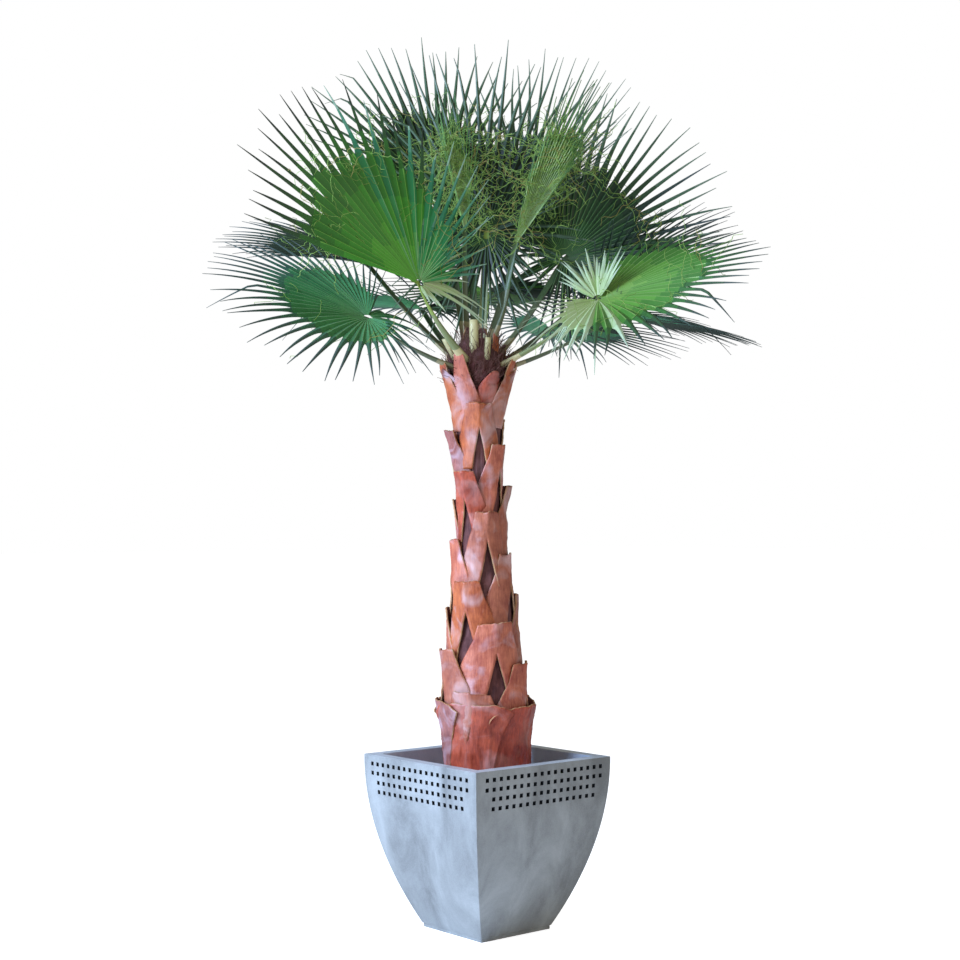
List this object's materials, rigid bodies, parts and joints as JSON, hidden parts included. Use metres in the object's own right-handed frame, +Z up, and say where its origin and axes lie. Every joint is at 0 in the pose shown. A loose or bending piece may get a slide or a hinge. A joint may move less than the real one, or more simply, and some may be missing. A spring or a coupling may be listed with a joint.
{
  "type": "potted mexican fan palm",
  "caption": "Young fan palm with a trunk of split leaf bases and a round crown of pleated fan fronds, in a square tapered planter.",
  "frame": {"origin": "middle of the planter's flat underside, at the level it stands on", "axes": "+Z up the trunk; X and Y square to the planter's faces"},
  "size_m": [1.889, 2.0037, 2.9215],
  "materials": {
    "planter": "satin blue-grey moulded resin",
    "soil": "dark bark-based potting mix, rough",
    "leaf_bases": "dry woody leaf bases, orange-brown to mauve, dull",
    "crown_fibre": "matted dark brown fibre, rough",
    "frond": "leathery green leaf, slight sheen",
    "young_frond": "pale green unopened leaf, slight sheen"
  },
  "bodies": {
    "root": {"planter": "planter", "soil": "soil", "trunk": "leaf_bases", "crown_shaft": "crown_fibre", "frond_01": "frond", "frond_02": "frond", "frond_03": "frond", "frond_04": "frond", "frond_05": "frond", "frond_06": "frond", "frond_07": "frond", "frond_08": "frond", "frond_09": "frond", "frond_10": "frond", "frond_11": "frond", "frond_12": "frond", "frond_13": "frond", "frond_14": "frond", "young_frond_01": "young_frond", "young_frond_02": "young_frond"}
  },
  "joints": []
}
